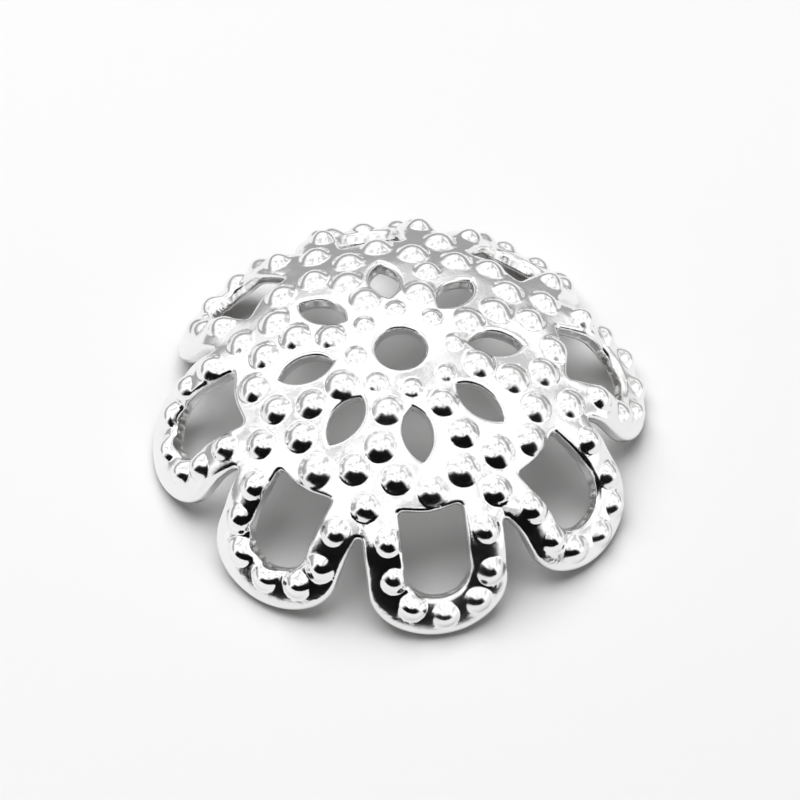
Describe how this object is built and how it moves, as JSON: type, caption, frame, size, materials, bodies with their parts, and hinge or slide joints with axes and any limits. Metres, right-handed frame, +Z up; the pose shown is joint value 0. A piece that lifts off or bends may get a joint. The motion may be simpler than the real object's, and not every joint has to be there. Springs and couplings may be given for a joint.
{
  "type": "bead cap",
  "caption": "Shallow domed bead cap of pierced sheet metal with open rounded petals, beaded rows and a central thread hole.",
  "frame": {"origin": "on the axis of the thread hole, in the plane that the petal tips stand on", "axes": "+Z up along the thread hole, -Y through the tip of one petal, +X to the right"},
  "size_m": [0.01, 0.01, 0.0031],
  "materials": {
    "silver_plate": "bright silver plate on brass"
  },
  "bodies": {
    "root": {"bead_cap": "silver_plate"}
  },
  "joints": []
}
